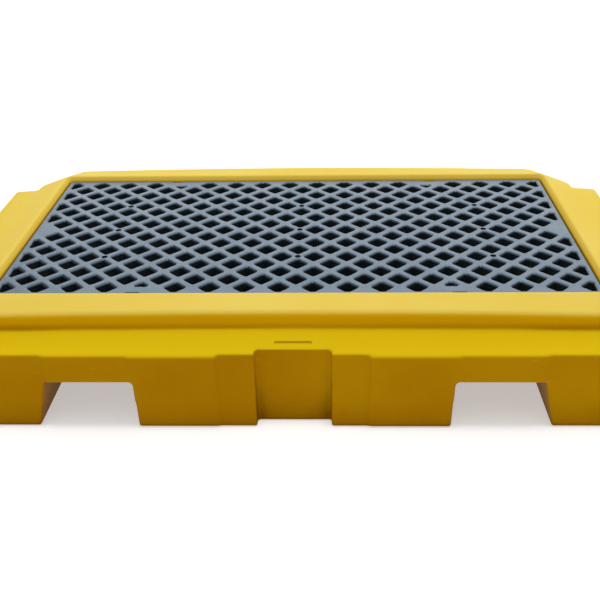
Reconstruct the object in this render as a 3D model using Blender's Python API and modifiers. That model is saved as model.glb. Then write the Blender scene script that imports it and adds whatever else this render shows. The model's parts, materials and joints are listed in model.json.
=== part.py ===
"""A low two-drum spill containment pallet: a hollow moulded sump with two fork pockets and a lift-out lattice deck.

Metres, +Z up. The origin is at the centre of the footprint, on the floor. +X is the long way, and the fork pockets
run along Y. The deck lifts straight up with the nine columns that are plugged into its underside.
"""

import math

import bmesh
import bpy

# Deck lattice: everything else is laid out round it.
PITCH = 0.0685
PITCHES_LONG = 17.5
PITCHES_DEEP = 8.8
LAST_ROW = 16
HOLE_REACH = 0.315 * PITCH
BORDER = 0.16 * PITCH
DECK_HALF = (PITCHES_LONG * PITCH / 2, PITCHES_DEEP * PITCH / 2)
DECK_THICK = 0.030
DECK_CORNER = 0.010
NOTCH_COLUMN = 4.5
NOTCH_OUT = 0.012
NOTCH_HALF = 0.013
NOTCH_DEPTH = 0.006
NOTCH_BAR = 0.08 * PITCH
PIN_HOLE_RADIUS = 0.0075

# Heights.
HEIGHT = 0.2225
RIM_PROUD = 0.010
RIM_OUTER_DROP = 0.003
CROWN = 0.006
RIM_FOOT_Z = 0.181
LEDGE_Z = 0.166
POCKET_ROOF_Z = 0.104
DECK_TOP_Z = HEIGHT - RIM_PROUD
DECK_UNDER_Z = DECK_TOP_Z - DECK_THICK

# Plan of the sump, as half lengths along X and Y.
WALL = 0.006
TOUCH_GAP = 0.0003
DECK_CLEARANCE = (0.003, 0.005)
RECESS_FLARE = 0.009
FLARE_FOOT_Z = DECK_TOP_Z - 0.001
RECESS_CORNER = 0.002
RIM_LAND = 0.004
LAND_CORNER = 0.010
SHELF_WIDTH = 0.016
RIM_HALF = (0.672, 0.385)
RIM_CUT = (0.084, 0.107)
RIM_CORNER = 0.040
RIM_ROUND = 0.008
BASE_HALF = (0.706, 0.454)
BASE_CUT = (0.075, 0.095)
BASE_CORNER = 0.050
BASE_DRAFT = math.tan(math.radians(2.0))
BASE_ROUND = 0.005
LEDGE_ROUND = 0.007
CROWN_HALF = 0.560
LEAST_RADIUS = 0.002

# Side lugs, which are widened stretches of the rim.
LUG_REACH = 0.728
LUG_HALF = 0.250
LUG_TOP_Z = 0.209
LUG_SLOPE = 0.08
LUG_LIP_Z = 0.170
LUG_FOOT_Z = 0.148

# Fork pockets, the panels over them, and the centre recess of the long sides.
POCKET_INNER = (0.2985, 0.301)
POCKET_OUTER = (0.490, 0.468)
PANEL_SPAN = (0.304, 0.466)
PANEL_DEPTH = 0.0015
FOOT_START = 0.463
FOOT_DEPTH = 0.0045
FLANK_HALF = 0.143
FLANK_DEPTH = (0.003, 0.006)
RECESS_HALF = 0.071
RECESS_DEPTH = (0.0235, 0.019)
GROOVE_HALF = (0.034, 0.0025)
GROOVE_OUT = 0.0335
GROOVE_DEPTH = 0.003

# Columns under the deck.
COLUMN_STEP = (6 * PITCH, 2 * PITCH)
COLUMN_RADIUS = 0.024
COLUMN_BORE = 0.020
FLANGE_RADIUS = 0.032
FLANGE_THICK = 0.005
PIN_RADIUS = 0.0070
PIN_SUNK = 0.004

ARC_STEPS = 3
CROWN_STEPS = 6
ROUND_STEPS = 2
PIN_HOLE_SIDES = 12
COLUMN_SIDES = 16
FAR = 0.6
SIDES = (-1, 1)


def clear_scene():
    for obj in list(bpy.data.objects):
        bpy.data.objects.remove(obj)


def collection(name):
    made = bpy.data.collections.new(name)
    bpy.context.scene.collection.children.link(made)
    return made


def plastic(name, colour, roughness):
    made = bpy.data.materials.new(name)
    made.use_nodes = True
    shader = made.node_tree.nodes["Principled BSDF"]
    shader.inputs["Base Color"].default_value = (*colour, 1)
    shader.inputs["Roughness"].default_value = roughness
    shader.inputs["Metallic"].default_value = 0
    return made


def new_object(name, mesh, group, material=None):
    obj = bpy.data.objects.new(name, mesh)
    group.objects.link(obj)
    if material:
        mesh.materials.append(material)
    else:
        obj.hide_render = True
        obj.display_type = "WIRE"
    return obj


def arc(centre, radius, start, stop, steps):
    """Points on an arc, with both ends. Angles are in degrees."""
    points = []
    for step in range(steps + 1):
        angle = math.radians(start + (stop - start) * step / steps)
        points.append((centre[0] + radius * math.cos(angle), centre[1] + radius * math.sin(angle)))
    return points


def rounded(corners, radius, steps):
    """A closed outline through corners, anticlockwise, each turned into an arc."""
    points = []
    for place, corner in enumerate(corners):
        before = corners[place - 1]
        after = corners[(place + 1) % len(corners)]
        towards = math.atan2(corner[1] - before[1], corner[0] - before[0])
        turn = (math.atan2(after[1] - corner[1], after[0] - corner[0]) - towards) % (2 * math.pi)
        back = radius * math.tan(turn / 2)
        start = (corner[0] - back * math.cos(towards), corner[1] - back * math.sin(towards))
        centre = (start[0] - radius * math.sin(towards), start[1] + radius * math.cos(towards))
        first = math.degrees(towards) - 90
        points += arc(centre, radius, first, first + math.degrees(turn), steps)
    return points


def with_long_edges_split(points, steps):
    """Adds evenly spaced points along the two long edges, which let them bend into a crown."""
    split = []
    for place, point in enumerate(points):
        after = points[(place + 1) % len(points)]
        split.append(point)
        if abs(after[0] - point[0]) > BASE_HALF[0]:
            for step in range(1, steps):
                part = step / steps
                split.append((point[0] + (after[0] - point[0]) * part, point[1]))
    return split


def cut_rectangle(half, cut, radius, inset=0.0):
    """The plan of a rectangle with its corners cut off and rounded, moved in by inset on every side."""
    slant = math.hypot(*cut)
    x = half[0] - inset
    y = half[1] - inset
    cut_x = cut[0] - inset * (1 - (slant - cut[0]) / cut[1])
    cut_y = cut[1] - inset * (1 - (slant - cut[1]) / cut[0])
    quarter = [(x, y - cut_y), (x - cut_x, y)]
    left = [(-px, py) for px, py in reversed(quarter)]
    corners = quarter + left + [(-px, -py) for px, py in quarter + left]
    outline = rounded(corners, max(radius - inset, LEAST_RADIUS), ARC_STEPS)
    return with_long_edges_split(outline, CROWN_STEPS)


def crown(x):
    """How far the outer part of the rim has dropped at x."""
    return CROWN * min(1.0, abs(x) / CROWN_HALF) ** 2


def ring(outline, height, crowned=False):
    return [(x, y, height - (crown(x) if crowned else 0)) for x, y in outline]


def loft(name, rings, group):
    """A closed solid through rings that have the same number of points, listed from the bottom up."""
    shape = bmesh.new()
    rows = [[shape.verts.new(point) for point in each] for each in rings]
    for low, high in zip(rows, rows[1:]):
        for place in range(len(low)):
            after = (place + 1) % len(low)
            shape.faces.new((low[place], low[after], high[after], high[place]))
    shape.faces.new(list(reversed(rows[0])))
    shape.faces.new(rows[-1])
    bmesh.ops.triangulate(shape, faces=shape.faces[:])
    bmesh.ops.recalc_face_normals(shape, faces=shape.faces[:])
    mesh = bpy.data.meshes.new(name)
    shape.to_mesh(mesh)
    shape.free()
    return new_object(name, mesh, group)


def box(name, low, high, group):
    """A box between two opposite corners."""
    return loft(name, [rectangle(low, high, low[2]), rectangle(low, high, high[2])], group)


def rectangle(low, high, height):
    plan = [(low[0], low[1]), (high[0], low[1]), (high[0], high[1]), (low[0], high[1])]
    return ring(plan, height)


def mirrored(obj, axis):
    """Adds the mirror image of obj's mesh on the other side of the X or Y plane."""
    shape = bmesh.new()
    shape.from_mesh(obj.data)
    copied = bmesh.ops.duplicate(shape, geom=shape.verts[:] + shape.edges[:] + shape.faces[:])["geom"]
    for vert in [item for item in copied if isinstance(item, bmesh.types.BMVert)]:
        vert.co[axis] = -vert.co[axis]
    bmesh.ops.reverse_faces(shape, faces=[item for item in copied if isinstance(item, bmesh.types.BMFace)])
    shape.to_mesh(obj.data)
    shape.free()
    return obj


def boolean(obj, operation, other):
    modifier = obj.modifiers.new(operation.lower() + " " + other.name, "BOOLEAN")
    modifier.operation = operation
    modifier.object = other
    modifier.solver = "EXACT"


def base_side(z):
    """How far the base has come in at height z, from its draft."""
    return (LEDGE_Z - z) * BASE_DRAFT


def base_block(name, skin, group):
    """The lower block with its sloping ledge. skin moves every face in, for the hollow inside."""
    rings = []
    for inset, rise in arc((BASE_ROUND, BASE_ROUND), BASE_ROUND, 270, 180, ROUND_STEPS):
        outline = cut_rectangle(BASE_HALF, BASE_CUT, BASE_CORNER, base_side(rise) + inset + skin)
        rings.append(ring(outline, rise + skin))
    for inset, rise in arc((LEDGE_ROUND, -LEDGE_ROUND), LEDGE_ROUND, 180, 100, ROUND_STEPS):
        outline = cut_rectangle(BASE_HALF, BASE_CUT, BASE_CORNER, inset + skin)
        rings.append(ring(outline, LEDGE_Z + rise - skin))
    under_rim = cut_rectangle(RIM_HALF, RIM_CUT, RIM_CORNER, RIM_LAND * 3 + skin)
    rings.append(ring(under_rim, RIM_FOOT_Z + RIM_LAND - skin, crowned=True))
    buried = cut_rectangle(RIM_HALF, RIM_CUT, RIM_CORNER, RIM_LAND * 5 + skin)
    rings.append(ring(buried, LEDGE_Z - skin))
    return loft(name, rings, group)


def rim_block(name, skin, group):
    """The raised rim: its outer face, its rounded outer edge and its top, which slopes and drops towards the corners."""
    rings = [ring(cut_rectangle(RIM_HALF, RIM_CUT, RIM_CORNER, skin), LEDGE_Z - LEDGE_ROUND * 2 - skin)]
    top = HEIGHT - RIM_OUTER_DROP - skin
    for inset, rise in arc((RIM_ROUND, -RIM_ROUND), RIM_ROUND, 180, 95, ROUND_STEPS):
        outline = cut_rectangle(RIM_HALF, RIM_CUT, RIM_CORNER, inset + skin)
        rings.append(ring(outline, top + rise, crowned=True))
    opening = [half + gap + RECESS_FLARE + RIM_LAND for half, gap in zip(DECK_HALF, DECK_CLEARANCE)]
    corner = (LAND_CORNER, LAND_CORNER)
    rings.append(ring(cut_rectangle(opening, corner, LAND_CORNER, 0), HEIGHT - skin))
    rings.append(ring(cut_rectangle(opening, corner, LAND_CORNER, RIM_LAND * 3), HEIGHT - skin))
    return loft(name, rings, group)


def lug_blocks(name, skin, group):
    """The widened middle of each short side, with a lip under it for the fingers."""
    inside = RIM_HALF[0] - RIM_ROUND * 5
    span = LUG_HALF - skin
    rings = []
    levels = (
        (BASE_HALF[0] - WALL, LUG_FOOT_Z + skin),
        (LUG_REACH, LUG_LIP_Z + skin),
        (LUG_REACH, LUG_TOP_Z - RIM_ROUND),
    )
    for reach, z in levels:
        rings.append(rectangle((inside, -span), (reach - skin, span), z))
    outer = LUG_REACH - RIM_ROUND / 2
    inner_z = LUG_TOP_Z + LUG_SLOPE * (outer - inside) - skin
    narrow = span - RIM_ROUND / 2
    rings.append([
        (inside, -narrow, inner_z),
        (outer - skin, -narrow, LUG_TOP_Z - skin),
        (outer - skin, narrow, LUG_TOP_Z - skin),
        (inside, narrow, inner_z),
    ])
    return mirrored(loft(name, rings, group), 0)


def deck_recess(name, skin, group):
    """The space that the deck drops into, down to its shelf. It flares from the deck's top up to the rim's."""
    half = [size + gap + skin for size, gap in zip(DECK_HALF, DECK_CLEARANCE)]
    low = DECK_UNDER_Z - TOUCH_GAP - skin
    high = HEIGHT + RIM_PROUD
    flare = RECESS_FLARE * (high - FLARE_FOOT_Z) / (HEIGHT - FLARE_FOOT_Z)
    corner = (RECESS_CORNER, RECESS_CORNER)
    floor = cut_rectangle(half, corner, RECESS_CORNER)
    mouth = cut_rectangle(half, corner, RECESS_CORNER, -flare)
    return loft(name, [ring(floor, low), ring(floor, FLARE_FOOT_Z), ring(mouth, high)], group)


def fork_pockets(name, skin, group):
    """Two tunnels with an upright inner wall and a leaning outer wall."""
    rings = []
    lean_in = (POCKET_INNER[1] - POCKET_INNER[0]) / POCKET_ROOF_Z
    lean_out = (POCKET_OUTER[1] - POCKET_OUTER[0]) / POCKET_ROOF_Z
    for z in (-WALL * 2, POCKET_ROOF_Z + skin):
        inner = POCKET_INNER[0] + lean_in * z - skin
        outer = POCKET_OUTER[0] + lean_out * z + skin
        rings.append(rectangle((inner, -FAR), (outer, FAR), z))
    return mirrored(loft(name, rings, group), 0)


def side_cut(name, span, depth, z_range, skin, group):
    """A cut into both long sides between two X values. depth is (at the floor, at the ledge)."""
    rings = []
    for z in z_range:
        part = z / LEDGE_Z
        face = BASE_HALF[1] - base_side(z) - (depth[0] + (depth[1] - depth[0]) * part) - skin
        rings.append(rectangle((span[0] - skin, face), (span[1] + skin, FAR), z))
    return mirrored(loft(name, rings, group), 1)


def side_cuts(skin, group, label):
    """The outer feet, the panels over the pockets, the shallow flanks and the centre recess."""
    over = (-WALL * 2, LEDGE_Z + RIM_ROUND)
    feet_span = (FOOT_START, BASE_HALF[0] + WALL * 2)
    feet = mirrored(side_cut(label + "_feet", feet_span, (FOOT_DEPTH, FOOT_DEPTH), over, skin, group), 0)
    panel_depth = (PANEL_DEPTH, PANEL_DEPTH)
    panels = mirrored(side_cut(label + "_panels", PANEL_SPAN, panel_depth, over, skin, group), 0)
    flanks = side_cut(label + "_flanks", (-FLANK_HALF, FLANK_HALF), FLANK_DEPTH, over, skin, group)
    centre = side_cut(label + "_centre", (-RECESS_HALF, RECESS_HALF), RECESS_DEPTH, over, skin, group)
    return [feet, panels, flanks, centre]


def ledge_grooves(name, group):
    """A short shallow groove in the ledge over each centre recess."""
    slope = (RIM_FOOT_Z - LEDGE_Z) / (BASE_HALF[1] - RIM_HALF[1])
    centre = RIM_HALF[1] + GROOVE_OUT
    floor = RIM_FOOT_Z - slope * GROOVE_OUT - GROOVE_DEPTH
    low = (-GROOVE_HALF[0], centre - GROOVE_HALF[1], floor)
    high = (GROOVE_HALF[0], centre + GROOVE_HALF[1], floor + WALL * 2)
    return mirrored(box(name, low, high, group), 1)


def envelope(name, skin, group):
    """The sump as one block, without its hollow. With a skin it is the hollow itself."""
    block = base_block(name, skin, group)
    boolean(block, "UNION", rim_block(name + "_rim", skin, group))
    boolean(block, "UNION", lug_blocks(name + "_lugs", skin, group))
    boolean(block, "DIFFERENCE", deck_recess(name + "_recess", skin, group))
    boolean(block, "DIFFERENCE", fork_pockets(name + "_pockets", skin, group))
    for cut in side_cuts(skin, group, name):
        boolean(block, "DIFFERENCE", cut)
    return block


def sump(group, cutters, material):
    """The one-piece moulded tub. The hollow feet are part of its sump."""
    tub = envelope("sump", 0.0, cutters)
    boolean(tub, "DIFFERENCE", ledge_grooves("ledge_grooves", cutters))
    boolean(tub, "DIFFERENCE", envelope("hollow", WALL, cutters))
    inside = [half - SHELF_WIDTH for half in DECK_HALF]
    low = (-inside[0], -inside[1], DECK_UNDER_Z - WALL * 3)
    high = (inside[0], inside[1], DECK_TOP_Z)
    boolean(tub, "DIFFERENCE", box("mouth", low, high, cutters))
    tub.hide_render = False
    tub.display_type = "TEXTURED"
    tub.data.materials.append(material)
    cutters.objects.unlink(tub)
    group.objects.link(tub)
    return tub


def clipped(points, axis, limit):
    """The part of a convex outline whose coordinate on axis lies within plus and minus limit."""
    for side in SIDES:
        kept = []
        for place, point in enumerate(points):
            after = points[(place + 1) % len(points)]
            over = side * point[axis] - limit
            next_over = side * after[axis] - limit
            if over <= 0:
                kept.append(point)
            if over * next_over < 0:
                part = over / (over - next_over)
                kept.append(tuple(point[i] + (after[i] - point[i]) * part for i in (0, 1)))
        points = kept
    return points


def diamond(column, row):
    """One hole of the lattice, cut short by the deck's border. Columns and rows are in pitches from the centre."""
    x = column * PITCH
    y = row * PITCH
    outline = [(x + HOLE_REACH, y), (x, y + HOLE_REACH), (x - HOLE_REACH, y), (x, y - HOLE_REACH)]
    outline = clipped(outline, 0, DECK_HALF[0] - BORDER)
    return clipped(outline, 1, DECK_HALF[1] - BORDER)


def lattice():
    """The holes of the deck. Rows are half a pitch apart, and every second row is shifted by half a pitch."""
    holes = []
    for number in range(LAST_ROW + 1):
        row = (number - LAST_ROW / 2) / 2
        shifted = number % 2 == 0
        last = PITCHES_LONG / 2 - (0.25 if shifted else 0.75)
        columns = [place - last for place in range(int(2 * last) + 1)]
        for column in columns:
            at_side_middle = row == 0 and abs(column) == last
            at_notch = abs(row) == LAST_ROW / 4 and abs(column) == NOTCH_COLUMN
            if at_notch:
                holes.append(clipped(diamond(column, row), 1, LAST_ROW / 4 * PITCH - NOTCH_BAR))
            elif not at_side_middle:
                holes.append(diamond(column, row))
    return holes


def deck_edge():
    """The outline of the deck, with a finger notch in each long edge on each side."""
    x, y = DECK_HALF
    notched = []
    for side in (1, -1):
        place = NOTCH_COLUMN * PITCH + NOTCH_OUT
        for centre in (side * place, -side * place):
            for reach, depth in ((1, 0), (1, NOTCH_DEPTH), (-1, NOTCH_DEPTH), (-1, 0)):
                notched.append((centre + side * reach * NOTCH_HALF, side * (y - depth)))
    corner = rounded([(x, -y), (x, y), (-x, y), (-x, -y)], DECK_CORNER, ARC_STEPS)
    count = ARC_STEPS + 1
    return corner[count:2 * count] + notched[:8] + corner[2 * count:] + notched[8:] + corner[:count]


def column_places():
    """(name, x, y, floor) of each column. The outer ones stand on the roofs of the fork pockets."""
    places = []
    for row_name, row in (("front", -1), ("middle", 0), ("rear", 1)):
        for side_name, side in (("left", -1), ("centre", 0), ("right", 1)):
            floor = POCKET_ROOF_Z + WALL if side else WALL
            name = f"column_{row_name}_{side_name}"
            places.append((name, side * COLUMN_STEP[0], row * COLUMN_STEP[1], floor + TOUCH_GAP))
    return places


def add_spline(curve, outline):
    spline = curve.splines.new("POLY")
    spline.points.add(len(outline) - 1)
    for point, (x, y) in zip(spline.points, outline):
        point.co = (x, y, 0, 1)
    spline.use_cyclic_u = True


def deck(group, material):
    """The lift-out lattice plate, as a flat outline with holes."""
    curve = bpy.data.curves.new("deck_grate", "CURVE")
    curve.dimensions = "2D"
    curve.fill_mode = "BOTH"
    curve.extrude = DECK_THICK / 2
    add_spline(curve, deck_edge())
    for hole in lattice():
        add_spline(curve, hole)
    for _, x, y, _ in column_places():
        add_spline(curve, arc((x, y), PIN_HOLE_RADIUS, 0, 360, PIN_HOLE_SIDES)[:-1])
    plate = bpy.data.objects.new("deck_grate", curve)
    group.objects.link(plate)
    curve.materials.append(material)
    plate.location = (0, 0, DECK_UNDER_Z + DECK_THICK / 2)
    return plate


def column(name, floor, group, material):
    """A hollow column with a flange at each end and a pin on top, turned about its own axis. Its origin is its foot."""
    tall = DECK_UNDER_Z - TOUCH_GAP - floor
    pin_top = tall + TOUCH_GAP + DECK_THICK - PIN_SUNK
    profile = [
        (0, pin_top),
        (PIN_RADIUS, pin_top),
        (PIN_RADIUS, tall),
        (FLANGE_RADIUS, tall),
        (FLANGE_RADIUS, tall - FLANGE_THICK),
        (COLUMN_RADIUS, tall - FLANGE_THICK),
        (COLUMN_RADIUS, FLANGE_THICK),
        (FLANGE_RADIUS, FLANGE_THICK),
        (FLANGE_RADIUS, 0),
        (COLUMN_BORE, 0),
        (COLUMN_BORE, tall - FLANGE_THICK),
        (0, tall - FLANGE_THICK),
    ]
    mesh = bpy.data.meshes.new(name)
    edges = [(place, place + 1) for place in range(len(profile) - 1)]
    mesh.from_pydata([(x, 0, z) for x, z in profile], edges, [])
    obj = new_object(name, mesh, group, material)
    screw = obj.modifiers.new("turned", "SCREW")
    screw.axis = "Z"
    screw.steps = COLUMN_SIDES
    screw.render_steps = COLUMN_SIDES
    screw.use_merge_vertices = True
    screw.merge_threshold = 0.0001
    screw.use_smooth_shade = False
    return obj


def build():
    clear_scene()
    parts = collection("spill_containment_pallet")
    cutters = collection("cutters")
    yellow = plastic("sump_yellow", (0.78, 0.50, 0.02), 0.42)
    black = plastic("deck_black", (0.035, 0.040, 0.046), 0.5)
    grey = plastic("column_grey", (0.05, 0.05, 0.055), 0.55)
    sump(parts, cutters, yellow)
    lifted = bpy.data.objects.new("deck_lift", None)
    parts.objects.link(lifted)
    deck(parts, black).parent = lifted
    for name, x, y, floor in column_places():
        post = column(name, floor, parts, grey)
        post.location = (x, y, floor)
        post.parent = lifted


build()
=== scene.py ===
"""The looks of a two-drum spill containment pallet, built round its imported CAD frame.

Metres, +Z up. The long side that faces the camera is at -Y. The tub is remoulded from the CAD sump with soft
edges, and the lattice deck and its posts are built again with rounded bars and turned profiles.
"""

import json
import math

import bmesh
import bpy
import numpy as np
from mathutils import Matrix, Vector
from mathutils.geometry import delaunay_2d_cdt

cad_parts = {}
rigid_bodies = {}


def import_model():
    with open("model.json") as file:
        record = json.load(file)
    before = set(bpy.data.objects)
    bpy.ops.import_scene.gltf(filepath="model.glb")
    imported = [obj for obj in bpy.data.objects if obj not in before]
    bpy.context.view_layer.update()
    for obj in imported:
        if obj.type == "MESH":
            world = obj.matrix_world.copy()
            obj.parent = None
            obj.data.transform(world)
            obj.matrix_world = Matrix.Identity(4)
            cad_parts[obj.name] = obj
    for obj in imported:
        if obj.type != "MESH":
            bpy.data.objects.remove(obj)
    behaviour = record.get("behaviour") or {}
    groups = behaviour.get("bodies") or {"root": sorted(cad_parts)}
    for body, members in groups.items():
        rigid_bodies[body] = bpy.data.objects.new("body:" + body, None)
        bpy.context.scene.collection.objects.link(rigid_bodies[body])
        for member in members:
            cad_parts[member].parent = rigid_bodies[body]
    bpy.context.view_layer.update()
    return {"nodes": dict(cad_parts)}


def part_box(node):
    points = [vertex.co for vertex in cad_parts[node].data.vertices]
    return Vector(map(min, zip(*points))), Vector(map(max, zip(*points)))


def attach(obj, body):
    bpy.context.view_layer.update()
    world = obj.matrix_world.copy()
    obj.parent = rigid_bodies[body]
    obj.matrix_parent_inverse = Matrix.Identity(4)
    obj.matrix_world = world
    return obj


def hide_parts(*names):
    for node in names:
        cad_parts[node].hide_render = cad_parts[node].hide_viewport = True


# Tub moulding.
VOXEL = 0.003
SOFTENING = 8
TUB_FACES = 190000
WARP_HEIGHT = 0.0004
WARP_WAVES = ((10.2, 7.4, 5.8), (-6.6, 12.8, 8.2), (16.4, -11.2, 14.6))
WARP_FADE_LOW = 4
WARP_FADE_HIGH = 12

# Groove in the ledge over each centre recess. The finely split region round it is in units of the groove's
# half length and half width, and the two heights are shares of the tub's height.
GROOVE_HALF_LENGTH = 0.034
GROOVE_HALF_WIDTH = 0.0032
GROOVE_DEPTH = 0.0035
GROOVE_FROM_LEDGE_EDGE = 0.0355
GROOVE_END_SOFTNESS = 0.003
GROOVE_SIDE_SOFTNESS = 0.0022
SPLIT_REGION = (1.3, 3.5)
SPLIT_ABOVE = 0.60
PRESS_ABOVE = 0.68

# Lattice, in pitches of its holes, except for the notches in the deck's long edges, which are in metres.
PITCHES_LONG = 17.5
LAST_ROW = 16
HOLE_REACH = 0.302
HOLE_ROUND = 0.035
BORDER = 0.16
NOTCH_COLUMN = 4.5
NOTCH_BAR = 0.08
NOTCH_OUT = 0.012
NOTCH_HALF = 0.013
NOTCH_DEPTH = 0.006
POST_COLUMNS = 6
POST_ROWS = 2

# Bars of the lattice and the edges of its holes, in metres.
BAR_ROUND = 0.0062
BAR_DROP = 0.0044
EDGE_ROUND = 0.0030
UNDER_ROUND = 0.0010
HOLE_TAPER = 0.0012
SHORT_EDGE = 0.003
PIN_HOLE_RADIUS = 0.0060
PIN_HOLE_ROUND = 0.0010
ROUND_STEPS = 5
CORNER_STEPS = 4
PIN_HOLE_SIDES = 24

# Posts.
POST_SIDES = 48
POST_RADIUS = 0.024
POST_BORE = 0.020
POST_DRAFT = 0.0015
FLANGE_THICK = 0.005
FILLET = 0.004
PIN_RADIUS = 0.0054

# Camera.
LENS = 51.235
SHIFT_X = -0.01803
CAMERA_YAW = 1.650
CAMERA_PITCH = 29.05
CAMERA_ROLL = -0.917
CAMERA_RIGHT = 0.0728
CAMERA_BACK = 1.7579
CAMERA_OVER_DECK = 0.7948

# Height at which the rim rises out of the ledge.
LEDGE_Z = 0.181

# Studio. The sky's brightness fades from the horizon's to its own between two heights of a unit direction.
HORIZON_GLOW = 0.74
SKY_GLOW = 0.12
HORIZON_FADE = (0.08, 0.25)
FLOOR_REACH = 30.0
FLOOR_GAP = 0.0005

SIDES = (-1, 1)
SHARP_ANGLE = math.radians(50)
MAP_INPUTS = ("Value", "From Min", "From Max", "To Min", "To Max")


def new_piece(name, mesh, body, material, replaced):
    obj = bpy.data.objects.new(name, mesh)
    bpy.context.scene.collection.objects.link(obj)
    mesh.materials.clear()
    mesh.materials.append(material)
    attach(obj, body)
    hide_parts(replaced)
    return obj


def mesh_of(shape, name):
    mesh = bpy.data.meshes.new(name)
    shape.to_mesh(mesh)
    shape.free()
    return mesh


# ---------------------------------------------------------------- materials


class Shading:
    """Builds a material's nodes. The methods that make a pattern, a sum or a mix return its output socket."""

    def __init__(self, name):
        self.material = bpy.data.materials.new(name)
        self.material.use_nodes = True
        self.tree = self.material.node_tree
        self.shader = self.tree.nodes["Principled BSDF"]
        self.place = self.add("ShaderNodeTexCoord").outputs["Object"]
        self.normal = self.add("ShaderNodeNewGeometry").outputs["Normal"]

    def add(self, kind, **settings):
        node = self.tree.nodes.new(kind)
        for name, value in settings.items():
            setattr(node, name, value)
        return node

    def plug(self, value, socket):
        if isinstance(value, bpy.types.NodeSocket):
            self.tree.links.new(value, socket)
        else:
            socket.default_value = value

    def noise(self, scale, detail=3.0, roughness=0.5, stretch=(1, 1, 1)):
        mapping = self.add("ShaderNodeMapping")
        mapping.inputs["Scale"].default_value = stretch
        self.plug(self.place, mapping.inputs["Vector"])
        node = self.add("ShaderNodeTexNoise")
        self.plug(mapping.outputs[0], node.inputs["Vector"])
        node.inputs["Scale"].default_value = scale
        node.inputs["Detail"].default_value = detail
        node.inputs["Roughness"].default_value = roughness
        return node.outputs["Fac"]

    def spread(self, value, low, high, to_low=0.0, to_high=1.0, smooth=True):
        """Maps low..high to to_low..to_high, clamped."""
        node = self.add("ShaderNodeMapRange", interpolation_type="SMOOTHSTEP" if smooth else "LINEAR")
        for name, given in zip(MAP_INPUTS, (value, low, high, to_low, to_high)):
            self.plug(given, node.inputs[name])
        return node.outputs["Result"]

    def maths(self, operation, first, second):
        node = self.add("ShaderNodeMath", operation=operation)
        self.plug(first, node.inputs[0])
        self.plug(second, node.inputs[1])
        return node.outputs[0]

    def mix(self, amount, first, second, blend="MIX"):
        node = self.add("ShaderNodeMix", data_type="RGBA", blend_type=blend)
        colours = [socket for socket in node.inputs if socket.type == "RGBA"]
        self.plug(amount, node.inputs["Factor"])
        self.plug(self.colour(first), colours[0])
        self.plug(self.colour(second), colours[1])
        return next(socket for socket in node.outputs if socket.type == "RGBA")

    @staticmethod
    def colour(value):
        return (*value, 1.0) if isinstance(value, tuple) and len(value) == 3 else value

    def part(self, vector, axis):
        node = self.add("ShaderNodeSeparateXYZ")
        self.plug(vector, node.inputs[0])
        return node.outputs[axis]

    def crevice(self, reach, samples=8):
        """1 in the open, down to 0 in a tight corner."""
        node = self.add("ShaderNodeAmbientOcclusion", samples=samples)
        node.inputs["Distance"].default_value = reach
        return node.outputs["AO"]

    def bump(self, height, distance, under=None):
        node = self.add("ShaderNodeBump")
        node.inputs["Strength"].default_value = 1.0
        node.inputs["Distance"].default_value = distance
        self.plug(height, node.inputs["Height"])
        if under is not None:
            self.plug(under, node.inputs["Normal"])
        return node.outputs["Normal"]

    def finish(self, colour, roughness, normal):
        self.plug(self.colour(colour), self.shader.inputs["Base Color"])
        self.plug(roughness, self.shader.inputs["Roughness"])
        self.plug(normal, self.shader.inputs["Normal"])
        return self.material


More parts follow.
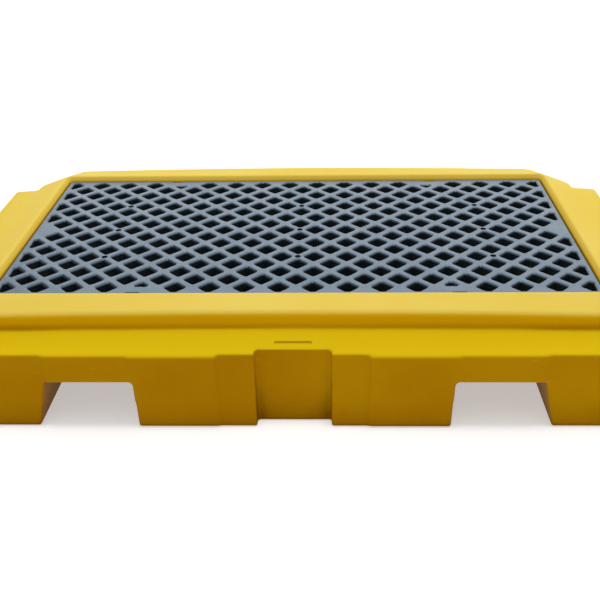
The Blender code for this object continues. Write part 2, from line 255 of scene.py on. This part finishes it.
def tub_plastic(floor_z, ledge_z, rim_z):
    """Mottled yellow polyethylene with orange peel. Tops get painted light and sheen; sides, pockets and
    creases painted shade.
    """
    shade = Shading("tub_yellow")
    # Lit and shaded copies of one yellow: sides are painted shade, darker below the ledge; tops are painted
    # light, and the rim tops also carry a painted sheen.
    shaded_low_side = (0.412, 0.188, 0.0008)
    shaded_high_side = (0.715, 0.390, 0.0012)
    ledge = (0.725, 0.502, 0.0060)
    lit_top_with_sheen = (0.755, 0.568, 0.1080)
    height = shade.part(shade.place, "Z")
    upward = shade.spread(shade.part(shade.normal, "Z"), 0.05, 0.95)
    side = shade.maths("SUBTRACT", 1.0, upward)
    on_rim = shade.spread(height, ledge_z, rim_z)
    on_face = shade.spread(height, ledge_z - 0.004, ledge_z + 0.018)
    clouds = shade.noise(3.2, 4.0, 0.55)
    # Upward faces take the painted light colours and sides the painted shade colours, which grow darker
    # towards the bottom.
    colour = shade.mix(upward, shade.mix(on_face, shaded_low_side, shaded_high_side), shade.mix(on_rim, ledge, lit_top_with_sheen))
    colour = shade.mix(shade.spread(clouds, 0.35, 0.70, 0.0, 0.20), colour, (0.700, 0.430, 0.0030))
    flecks = shade.noise(420.0, 2.0, 0.6)
    colour = shade.mix(shade.spread(flecks, 0.60, 0.78, 0.0, 0.10), colour, (0.930, 0.700, 0.0600))
    scuffs = shade.noise(26.0, 5.0, 0.65, (1.0, 5.0, 5.0))
    scuffed = shade.spread(scuffs, 0.62, 0.74, 0.0, 0.12)
    colour = shade.mix(scuffed, colour, (0.860, 0.620, 0.0500))
    # Painted shade: low sides in hollows such as the pockets are darkened towards a deep brown.
    low = shade.spread(height, (floor_z + ledge_z) * 0.5, (floor_z + ledge_z) * 0.8, 1.0, 0.0)
    hollow_shade = shade.spread(shade.crevice(0.14), 0.24, 0.70, 0.90, 0.0)
    shaded = shade.maths("MULTIPLY", shade.maths("MULTIPLY", hollow_shade, low), side)
    colour = shade.mix(shaded, colour, (0.095, 0.024, 0.0003))
    # Painted shade in tight creases and corners.
    crease_shade = shade.spread(shade.crevice(0.012), 0.30, 0.75, 0.50, 0.0)
    colour = shade.mix(crease_shade, colour, (0.400, 0.190, 0.0020))
    roughness = shade.maths("ADD", shade.spread(clouds, 0.3, 0.7, 0.34, 0.42), scuffed)
    peel = shade.bump(shade.noise(150.0, 2.0, 0.5), 0.00035)
    grain = shade.bump(shade.noise(900.0, 2.0, 0.6), 0.00006, peel)
    shade.shader.inputs["IOR"].default_value = 1.51
    shade.shader.inputs["Specular IOR Level"].default_value = 0.01
    shade.shader.inputs["Specular Tint"].default_value = (1.0, 0.80, 0.05, 1.0)
    return shade.finish(colour, roughness, grain)


def deck_plastic():
    """Black plastic with a sheen. Its bar tops are scuffed to a blue grey that also holds painted light and
    sheen, and its hole walls stay black.
    """
    shade = Shading("deck_grey")
    black = (0.0240, 0.0310, 0.0400)
    # Bar tops: partly scuffed wear, partly painted light with a painted bluish sheen on the upward faces.
    worn_and_lit_top = (0.054, 0.085, 0.132)
    upward = shade.spread(shade.part(shade.normal, "Z"), 0.70, 0.998)
    patches = shade.noise(14.0, 5.0, 0.62)
    rubbed_and_lit = shade.maths("MULTIPLY", upward, shade.spread(patches, 0.25, 0.70, 0.72, 1.0))
    colour = shade.mix(rubbed_and_lit, black, worn_and_lit_top)
    dust = shade.noise(300.0, 3.0, 0.65)
    colour = shade.mix(shade.spread(dust, 0.55, 0.75, 0.0, 0.20), colour, (0.200, 0.230, 0.270), "LIGHTEN")
    scratches = shade.noise(60.0, 4.0, 0.7, (1.0, 7.0, 1.0))
    scratched = shade.maths("MULTIPLY", shade.spread(scratches, 0.60, 0.72, 0.0, 0.40), upward)
    colour = shade.mix(scratched, colour, (0.260, 0.300, 0.350))
    # Painted shade in tight creases and corners.
    crease_shade = shade.spread(shade.crevice(0.012), 0.30, 0.90, 0.75, 0.0)
    colour = shade.mix(crease_shade, colour, black)
    roughness = shade.spread(patches, 0.3, 0.7, 0.28, 0.40)
    grain = shade.bump(shade.noise(520.0, 3.0, 0.6), 0.00012)
    pits = shade.bump(shade.noise(90.0, 3.0, 0.5), 0.00020, grain)
    shade.shader.inputs["Specular IOR Level"].default_value = 0.86
    shade.shader.inputs["Specular Tint"].default_value = (0.58, 0.84, 1.0, 1.0)
    return shade.finish(colour, roughness, pits)


def post_plastic():
    """Matt dark grey recycled plastic with a fine grain and a few pale flecks."""
    shade = Shading("post_grey")
    clouds = shade.noise(18.0, 4.0, 0.6)
    colour = shade.mix(shade.spread(clouds, 0.3, 0.7), (0.030, 0.033, 0.038), (0.062, 0.065, 0.070))
    flecks = shade.noise(380.0, 2.0, 0.6)
    colour = shade.mix(shade.spread(flecks, 0.62, 0.80, 0.0, 0.35), colour, (0.160, 0.165, 0.170))
    roughness = shade.spread(clouds, 0.3, 0.7, 0.50, 0.64)
    rings = shade.bump(shade.noise(40.0, 2.0, 0.5, (1.0, 1.0, 14.0)), 0.00018)
    grain = shade.bump(shade.noise(700.0, 2.0, 0.6), 0.00008, rings)
    return shade.finish(colour, roughness, grain)


def floor_paint():
    """A pale, even studio floor, lit a little from below as a light table is."""
    shade = Shading("pale_floor")
    clouds = shade.noise(0.8, 3.0, 0.5)
    colour = shade.mix(shade.spread(clouds, 0.3, 0.7), (0.740, 0.740, 0.740), (0.760, 0.760, 0.760))
    grain = shade.bump(shade.noise(220.0, 3.0, 0.6), 0.00010)
    shade.shader.inputs["Emission Color"].default_value = (1.0, 1.0, 1.0, 1.0)
    shade.shader.inputs["Emission Strength"].default_value = 0.45
    return shade.finish(colour, 0.75, grain)


# ---------------------------------------------------------------- tub


def evaluated_mesh(obj):
    graph = bpy.context.evaluated_depsgraph_get()
    return bpy.data.meshes.new_from_object(obj.evaluated_get(graph), depsgraph=graph)


def remoulded(node, voxel):
    """A copy of a CAD node's mesh, cut into even voxels and smoothed, so that every edge turns soft."""
    helper = bpy.data.objects.new("moulding", node.data.copy())
    bpy.context.scene.collection.objects.link(helper)
    remesh = helper.modifiers.new("voxels", "REMESH")
    remesh.mode = "VOXEL"
    remesh.voxel_size = voxel
    soften = helper.modifiers.new("soften", "SMOOTH")
    soften.factor = 0.5
    soften.iterations = round(SOFTENING * (VOXEL / voxel) ** 2)
    mesh = evaluated_mesh(helper)
    bpy.data.objects.remove(helper)
    return mesh


def coordinates(mesh):
    points = np.empty(len(mesh.vertices) * 3, np.float32)
    mesh.vertices.foreach_get("co", points)
    return points.reshape(-1, 3).astype(float)


def smoothstep(value):
    value = np.clip(value, 0.0, 1.0)
    return value * value * (3 - 2 * value)


def with_fine_groove_region(mesh, centre_y):
    """Splits the faces round both ledge grooves, so that the grooves have edges to bend."""
    shape = bmesh.new()
    shape.from_mesh(mesh)
    reach = (GROOVE_HALF_LENGTH * SPLIT_REGION[0], GROOVE_HALF_WIDTH * SPLIT_REGION[1])
    lowest = (SUMP_LOW.z + SUMP_HIGH.z) * SPLIT_ABOVE
    edges = []
    for edge in shape.edges:
        spot = (edge.verts[0].co + edge.verts[1].co) / 2
        if abs(spot.x) < reach[0] and abs(abs(spot.y) - centre_y) < reach[1] and spot.z > lowest:
            edges.append(edge)
    bmesh.ops.subdivide_edges(shape, edges=edges, cuts=2, use_grid_fill=True)
    bmesh.ops.triangulate(shape, faces=[face for face in shape.faces if len(face.verts) > 4])
    shape.to_mesh(mesh)
    shape.free()


def press_grooves(mesh, centre_y):
    points = coordinates(mesh)
    along = np.abs(points[:, 0])
    across = np.abs(np.abs(points[:, 1]) - centre_y)
    outside = points[:, 2] > (SUMP_LOW.z + SUMP_HIGH.z) * PRESS_ABOVE
    end = smoothstep((GROOVE_HALF_LENGTH - along) / GROOVE_END_SOFTNESS + 0.5)
    side = smoothstep((GROOVE_HALF_WIDTH - across) / GROOVE_SIDE_SOFTNESS + 0.5)
    points[:, 2] -= GROOVE_DEPTH * end * side * outside
    mesh.vertices.foreach_set("co", points.astype(np.float32).ravel())


def warp(mesh):
    """The slight waviness of a large hollow moulding. It fades out at the floor and at the outer limits."""
    points = coordinates(mesh)
    shift = np.zeros(len(points))
    for number, wave in enumerate(WARP_WAVES):
        shift += np.sin(points @ np.array(wave) + number) / len(WARP_WAVES)
    height = (points[:, 2] - SUMP_LOW.z) / (SUMP_HIGH.z - SUMP_LOW.z)
    calm = smoothstep(height * WARP_FADE_LOW) * smoothstep((1 - height) * WARP_FADE_HIGH)
    outward = np.sign(points[:, 1]) * (np.abs(points[:, 1]) > DECK_HIGH.y)
    points[:, 1] -= outward * (shift + 1) * WARP_HEIGHT * calm
    mesh.vertices.foreach_set("co", points.astype(np.float32).ravel())


def thinned(mesh, most_faces):
    """The same surface with fewer triangles: flat stretches lose theirs first."""
    helper = bpy.data.objects.new("thinning", mesh)
    bpy.context.scene.collection.objects.link(helper)
    triangles = sum(len(face.vertices) - 2 for face in mesh.polygons)
    decimate = helper.modifiers.new("thin", "DECIMATE")
    decimate.ratio = min(1.0, most_faces / triangles)
    result = evaluated_mesh(helper)
    bpy.data.objects.remove(helper)
    return result


def tub(material):
    mesh = remoulded(frame["nodes"]["sump"], VOXEL)
    centre_y = SUMP_HIGH.y - GROOVE_FROM_LEDGE_EDGE
    with_fine_groove_region(mesh, centre_y)
    press_grooves(mesh, centre_y)
    warp(mesh)
    mesh = thinned(mesh, TUB_FACES)
    mesh.shade_smooth()
    mesh.name = "tub"
    return new_piece("tub", mesh, "sump", material, "sump")


# ---------------------------------------------------------------- lattice deck


def arc(centre, radius, start, turn, steps):
    """Points on an arc that turns through turn radians from start, with both ends."""
    angles = [start + turn * step / steps for step in range(steps + 1)]
    return [(centre[0] + radius * math.cos(angle), centre[1] + radius * math.sin(angle)) for angle in angles]


def directions(corners, place):
    """Unit vectors of the edges that enter and leave a corner of an outline."""
    before = Vector(corners[place]) - Vector(corners[place - 1])
    after = Vector(corners[(place + 1) % len(corners)]) - Vector(corners[place])
    return before.normalized(), after.normalized()


def moved_out(corners, distance):
    """An anticlockwise outline with every edge moved out by distance."""
    moved = []
    for place, corner in enumerate(corners):
        into, away = directions(corners, place)
        normals = Vector((into.y, -into.x)), Vector((away.y, -away.x))
        miter = (normals[0] + normals[1]) / (1 + normals[0].dot(normals[1]))
        moved.append(tuple(Vector(corner) + miter * distance))
    return moved


def rounded(corners, radius):
    """The outline with each corner turned into an arc, hollow corners too."""
    points = []
    for place, corner in enumerate(corners):
        into, away = directions(corners, place)
        turn = math.atan2(into.x * away.y - into.y * away.x, into.dot(away))
        bend = math.copysign(radius, turn)
        start = Vector(corner) - into * radius * math.tan(abs(turn) / 2)
        centre = start + Vector((-into.y, into.x)) * bend
        first = math.atan2(start.y - centre.y, start.x - centre.x)
        points += arc(centre, radius, first, turn, CORNER_STEPS)
    return points


def clipped(points, axis, limit):
    """The part of a convex outline whose coordinate on axis lies within plus and minus limit."""
    for side in SIDES:
        kept = []
        for place, point in enumerate(points):
            after = points[(place + 1) % len(points)]
            over = side * point[axis] - limit
            next_over = side * after[axis] - limit
            if over <= 0:
                kept.append(point)
            if over * next_over < 0:
                part = over / (over - next_over)
                kept.append(tuple(point[i] + (after[i] - point[i]) * part for i in (0, 1)))
        points = kept
    return points


def without_short_edges(points):
    """The outline with the two ends of any very short edge joined into one corner."""
    kept = []
    for place, point in enumerate(points):
        after = Vector(points[(place + 1) % len(points)])
        before = Vector(points[place - 1])
        here = Vector(point)
        if (after - here).length < SHORT_EDGE:
            kept.append(tuple((after + here) / 2))
        elif (here - before).length >= SHORT_EDGE:
            kept.append(point)
    return kept


def diamond(column, row):
    """One hole of the lattice, cut short by the deck's border. Its place is in pitches from the centre."""
    x = column * PITCH
    y = row * PITCH
    reach = HOLE_REACH * PITCH
    outline = [(x + reach, y), (x, y + reach), (x - reach, y), (x, y - reach)]
    outline = clipped(outline, 0, DECK_HIGH.x - BORDER * PITCH)
    return without_short_edges(clipped(outline, 1, DECK_HIGH.y - BORDER * PITCH))


def lattice():
    """The corners of every hole. Rows are half a pitch apart, and every second row is shifted by as much."""
    holes = []
    for number in range(LAST_ROW + 1):
        row = (number - LAST_ROW / 2) / 2
        last = PITCHES_LONG / 2 - (0.25 if number % 2 == 0 else 0.75)
        for column in [place - last for place in range(int(2 * last) + 1)]:
            at_side_middle = row == 0 and abs(column) == last
            at_notch = abs(row) == LAST_ROW / 4 and abs(column) == NOTCH_COLUMN
            if at_notch:
                holes.append(clipped(diamond(column, row), 1, (LAST_ROW / 4 - NOTCH_BAR) * PITCH))
            elif not at_side_middle:
                holes.append(diamond(column, row))
    return holes


def notch_place():
    return NOTCH_COLUMN * PITCH + NOTCH_OUT


def deck_corners():
    """The corners of the deck's outline, anticlockwise, with two notches in each long edge."""
    x, y = DECK_HIGH.x, DECK_HIGH.y
    corners = [(x, -y), (x, y)]
    for side in (1, -1):
        for centre in (side * notch_place(), -side * notch_place()):
            for reach, depth in ((1, 0), (1, NOTCH_DEPTH), (-1, NOTCH_DEPTH), (-1, 0)):
                corners.append((centre + side * reach * NOTCH_HALF, side * (y - depth)))
        if side == 1:
            corners += [(-x, y), (-x, -y)]
    return corners


def post_places():
    """(name of its place, x, y) of each post and of its pin hole."""
    places = []
    for row_name, row in (("front", -1), ("middle", 0), ("rear", 1)):
        for side_name, side in (("left", -1), ("centre", 0), ("right", 1)):
            places.append((f"{row_name}_{side_name}", side * POST_COLUMNS * PITCH, row * POST_ROWS * PITCH))
    return places


def edge_profile(width, drop, taper):
    """(how far out of the wall, height) from the top face down to the underside, for one opening or edge."""
    high, low = DECK_HIGH.z, DECK_LOW.z
    steps = []
    for step in range(ROUND_STEPS + 1):
        angle = math.pi / 2 * step / ROUND_STEPS
        steps.append((width * (1 - math.sin(angle)), high - drop * (1 - math.cos(angle))))
    steps.append((taper, low + UNDER_ROUND))
    steps.append((taper + UNDER_ROUND, low))
    return steps


def wall_rings(shape, outlines, heights):
    """Vertices of one edge's rings from the top down, joined by faces."""
    rings = [[shape.verts.new((x, y, z)) for x, y in outline] for outline, z in zip(outlines, heights)]
    count = len(rings[0])
    for high, low in zip(rings, rings[1:]):
        for place in range(count):
            after = (place + 1) % count
            shape.faces.new((high[place], low[place], low[after], high[after]))
    return rings[0], rings[-1]


def edge_rings(shape, corners, radius, profile, inward):
    outlines = []
    for out, _ in profile:
        grow = -out if inward else out
        outlines.append(rounded(moved_out(corners, grow), radius + (out if not inward else 0)))
    return wall_rings(shape, outlines, [height for _, height in profile])


def pin_hole_rings(shape, x, y):
    profile = edge_profile(PIN_HOLE_ROUND, PIN_HOLE_ROUND, 0.0)
    outlines = [arc((x, y), PIN_HOLE_RADIUS + out, 0, 2 * math.pi, PIN_HOLE_SIDES)[:-1] for out, _ in profile]
    return wall_rings(shape, outlines, [height for _, height in profile])


def filled_between(shape, loops):
    """Fills the flat face between the outer loop, which comes first, and the holes in it."""
    verts = [vert for loop in loops for vert in loop]
    edges = []
    start = 0
    for loop in loops:
        edges += [(start + place, start + (place + 1) % len(loop)) for place in range(len(loop))]
        start += len(loop)
    flat = [Vector((vert.co.x, vert.co.y)) for vert in verts]
    faces, origin = cut_flat(flat, edges, [len(loop) for loop in loops])
    for face in faces:
        shape.faces.new([verts[origin[corner]] for corner in face])


def cut_flat(flat, edges, counts):
    """Triangles of the region between the loops, as indices, and which given point each index stands for."""
    points, _, triangles, origins, _, _ = delaunay_2d_cdt(flat, edges, [], 0, 1e-7)
    origin = [given[0] for given in origins]
    loop_of = np.repeat(np.arange(len(counts)), counts)
    kept = []
    for triangle in triangles:
        loops = {int(loop_of[origin[corner]]) for corner in triangle}
        if len(loops) > 1 or 0 in loops and not in_notch(points, triangle):
            kept.append(triangle)
    return kept, origin


def in_notch(points, triangle):
    """True if a triangle lies outside the deck's outline, in a notch of its long edges."""
    middle = sum((points[corner] for corner in triangle), Vector((0, 0))) / 3
    across = abs(abs(middle.x) - notch_place()) < NOTCH_HALF + EDGE_ROUND
    return across and abs(middle.y) > DECK_HIGH.y - NOTCH_DEPTH - EDGE_ROUND


def lattice_deck(material):
    shape = bmesh.new()
    rings = [edge_rings(shape, deck_corners(), EDGE_ROUND, edge_profile(EDGE_ROUND, EDGE_ROUND, 0.0), True)]
    hole_profile = edge_profile(BAR_ROUND, BAR_DROP, HOLE_TAPER)
    for corners in lattice():
        rings.append(edge_rings(shape, corners, HOLE_ROUND * PITCH, hole_profile, False))
    for _, x, y in post_places():
        rings.append(pin_hole_rings(shape, x, y))
    filled_between(shape, [top for top, _ in rings])
    filled_between(shape, [bottom for _, bottom in rings])
    bmesh.ops.recalc_face_normals(shape, faces=shape.faces[:])
    mesh = mesh_of(shape, "lattice_deck")
    mesh.shade_smooth()
    mesh.set_sharp_from_angle(angle=SHARP_ANGLE)
    deck = new_piece("lattice_deck", mesh, "deck", material, "deck_grate")
    weigh = deck.modifiers.new("flat_faces_stay_flat", "WEIGHTED_NORMAL")
    weigh.keep_sharp = True
    return deck


# ---------------------------------------------------------------- posts


def post_profile(foot, top, pin_top, flange):
    """(radius, height) points of a hollow post, from its pin down the outside and up its bore."""
    bend = FLANGE_THICK / 4
    low_body = foot + FLANGE_THICK
    high_body = top - FLANGE_THICK
    profile = [(0, pin_top), (PIN_RADIUS - bend, pin_top), (PIN_RADIUS, pin_top - bend), (PIN_RADIUS, top)]
    profile += [(flange - bend, top), (flange, top - bend)]
    profile += [(flange, high_body + bend), (flange - bend, high_body)]
    profile += turned_arc((POST_RADIUS + POST_DRAFT + FILLET, high_body - FILLET), 90, 180)
    profile += turned_arc((POST_RADIUS + FILLET, low_body + FILLET), 180, 270)
    profile += [(flange - bend, low_body), (flange, low_body - bend)]
    profile += [(flange, foot + bend), (flange - bend, foot)]
    profile += [(POST_BORE + bend, foot), (POST_BORE, foot + bend), (POST_BORE, high_body - bend)]
    profile += [(POST_BORE - bend, high_body), (0, high_body)]
    return profile


def turned_arc(centre, start, stop):
    turn = math.radians(stop - start)
    return arc(centre, FILLET, math.radians(start), turn, CORNER_STEPS)


def post(place, x, y, material):
    """One turned post in the place of its CAD column, with the same foot, flange and pin."""
    node = "column_" + place
    low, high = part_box(node)
    flange = (high.x - low.x) / 2
    profile = post_profile(low.z, top_of_flange(node), high.z, flange)
    shape = bmesh.new()
    verts = [shape.verts.new((radius, 0, height)) for radius, height in profile]
    for first, second in zip(verts, verts[1:]):
        shape.edges.new((first, second))
    bmesh.ops.spin(shape, geom=shape.verts[:] + shape.edges[:], cent=(0, 0, 0), axis=(0, 0, 1),
                   angle=2 * math.pi, steps=POST_SIDES, use_merge=True)
    bmesh.ops.remove_doubles(shape, verts=shape.verts[:], dist=1e-6)
    bmesh.ops.translate(shape, verts=shape.verts[:], vec=(x, y, 0))
    bmesh.ops.recalc_face_normals(shape, faces=shape.faces[:])
    mesh = mesh_of(shape, "post_" + place)
    mesh.shade_smooth()
    mesh.set_sharp_from_angle(angle=SHARP_ANGLE)
    return new_piece("post_" + place, mesh, "deck", material, node)


def top_of_flange(node):
    """The height of a CAD column's upper flange, which is its highest point outside its pin."""
    points = coordinates(frame["nodes"][node].data)
    centre = (points.max(0) + points.min(0)) / 2
    away = np.hypot(points[:, 0] - centre[0], points[:, 1] - centre[1])
    return float(points[away > POST_RADIUS, 2].max())


# ---------------------------------------------------------------- stage, light and camera


def floor():
    mesh = bpy.data.meshes.new("floor")
    corners = [(x * FLOOR_REACH, y * FLOOR_REACH, 0) for x, y in ((-1, -1), (1, -1), (1, 1), (-1, 1))]
    mesh.from_pydata(corners, [], [(0, 1, 2, 3)])
    mesh.materials.append(floor_paint())
    obj = bpy.data.objects.new("floor", mesh)
    obj.location.z = SUMP_LOW.z - FLOOR_GAP
    bpy.context.scene.collection.objects.link(obj)


def aimed(obj, place, target):
    obj.location = place
    obj.rotation_euler = (Vector(target) - Vector(place)).to_track_quat("-Z", "Y").to_euler()


def softbox(name, place, target, size, power):
    data = bpy.data.lights.new(name, "AREA")
    data.shape = "RECTANGLE"
    data.size, data.size_y = size
    data.energy = power
    obj = bpy.data.objects.new(name, data)
    bpy.context.scene.collection.objects.link(obj)
    aimed(obj, place, target)


def soft_sun(name, direction, spread, strength):
    data = bpy.data.lights.new(name, "SUN")
    data.angle = math.radians(spread)
    data.energy = strength
    obj = bpy.data.objects.new(name, data)
    bpy.context.scene.collection.objects.link(obj)
    aimed(obj, direction, (0, 0, 0))


def studio_air():
    """A dim sky with a pale band along the horizon, which the far floor fades into."""
    world = bpy.data.worlds.new("studio")
    world.use_nodes = True
    tree = world.node_tree
    background = tree.nodes["Background"]
    background.inputs["Color"].default_value = (1.0, 1.0, 1.0, 1.0)
    direction = tree.nodes.new("ShaderNodeTexCoord")
    split = tree.nodes.new("ShaderNodeSeparateXYZ")
    fade = tree.nodes.new("ShaderNodeMapRange")
    fade.interpolation_type = "SMOOTHSTEP"
    for name, value in zip(MAP_INPUTS[1:], (*HORIZON_FADE, HORIZON_GLOW, SKY_GLOW)):
        fade.inputs[name].default_value = value
    tree.links.new(direction.outputs["Generated"], split.inputs[0])
    tree.links.new(split.outputs["Z"], fade.inputs["Value"])
    tree.links.new(fade.outputs["Result"], background.inputs["Strength"])
    bpy.context.scene.world = world


def light():
    studio_air()
    soft_sun("overhead", (0.15, -0.12, 3.0), 12, 0.95)
    softbox("top_box", (0.3, -0.4, 4.2), (0.0, 0.0, 0.2), (7.0, 5.0), 130)
    softbox("back_box", (0.5, 4.1, 2.7), (0.0, 0.2, 0.2), (7.0, 3.6), 150)


def camera():
    data = bpy.data.cameras.new("camera")
    data.lens = LENS
    data.shift_x = SHIFT_X
    obj = bpy.data.objects.new("camera", data)
    bpy.context.scene.collection.objects.link(obj)
    obj.location = (CAMERA_RIGHT, -CAMERA_BACK, DECK_HIGH.z + CAMERA_OVER_DECK)
    turns = ((CAMERA_YAW, "Z"), (90 - CAMERA_PITCH, "X"), (CAMERA_ROLL, "Z"))
    turned = Matrix.Identity(4)
    for angle, axis in turns:
        turned = turned @ Matrix.Rotation(math.radians(angle), 4, axis)
    obj.rotation_euler = turned.to_euler()
    bpy.context.scene.camera = obj


def clear_scene():
    for obj in list(bpy.data.objects):
        bpy.data.objects.remove(obj)


clear_scene()
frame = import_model()
SUMP_LOW, SUMP_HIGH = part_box("sump")
DECK_LOW, DECK_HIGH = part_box("deck_grate")
PITCH = (DECK_HIGH.x - DECK_LOW.x) / PITCHES_LONG

tub(tub_plastic(SUMP_LOW.z, LEDGE_Z, SUMP_HIGH.z))
lattice_deck(deck_plastic())
post_material = post_plastic()
for place, x, y in post_places():
    post(place, x, y, post_material)
floor()
light()
camera()
bpy.context.scene.view_settings.view_transform = "Standard"
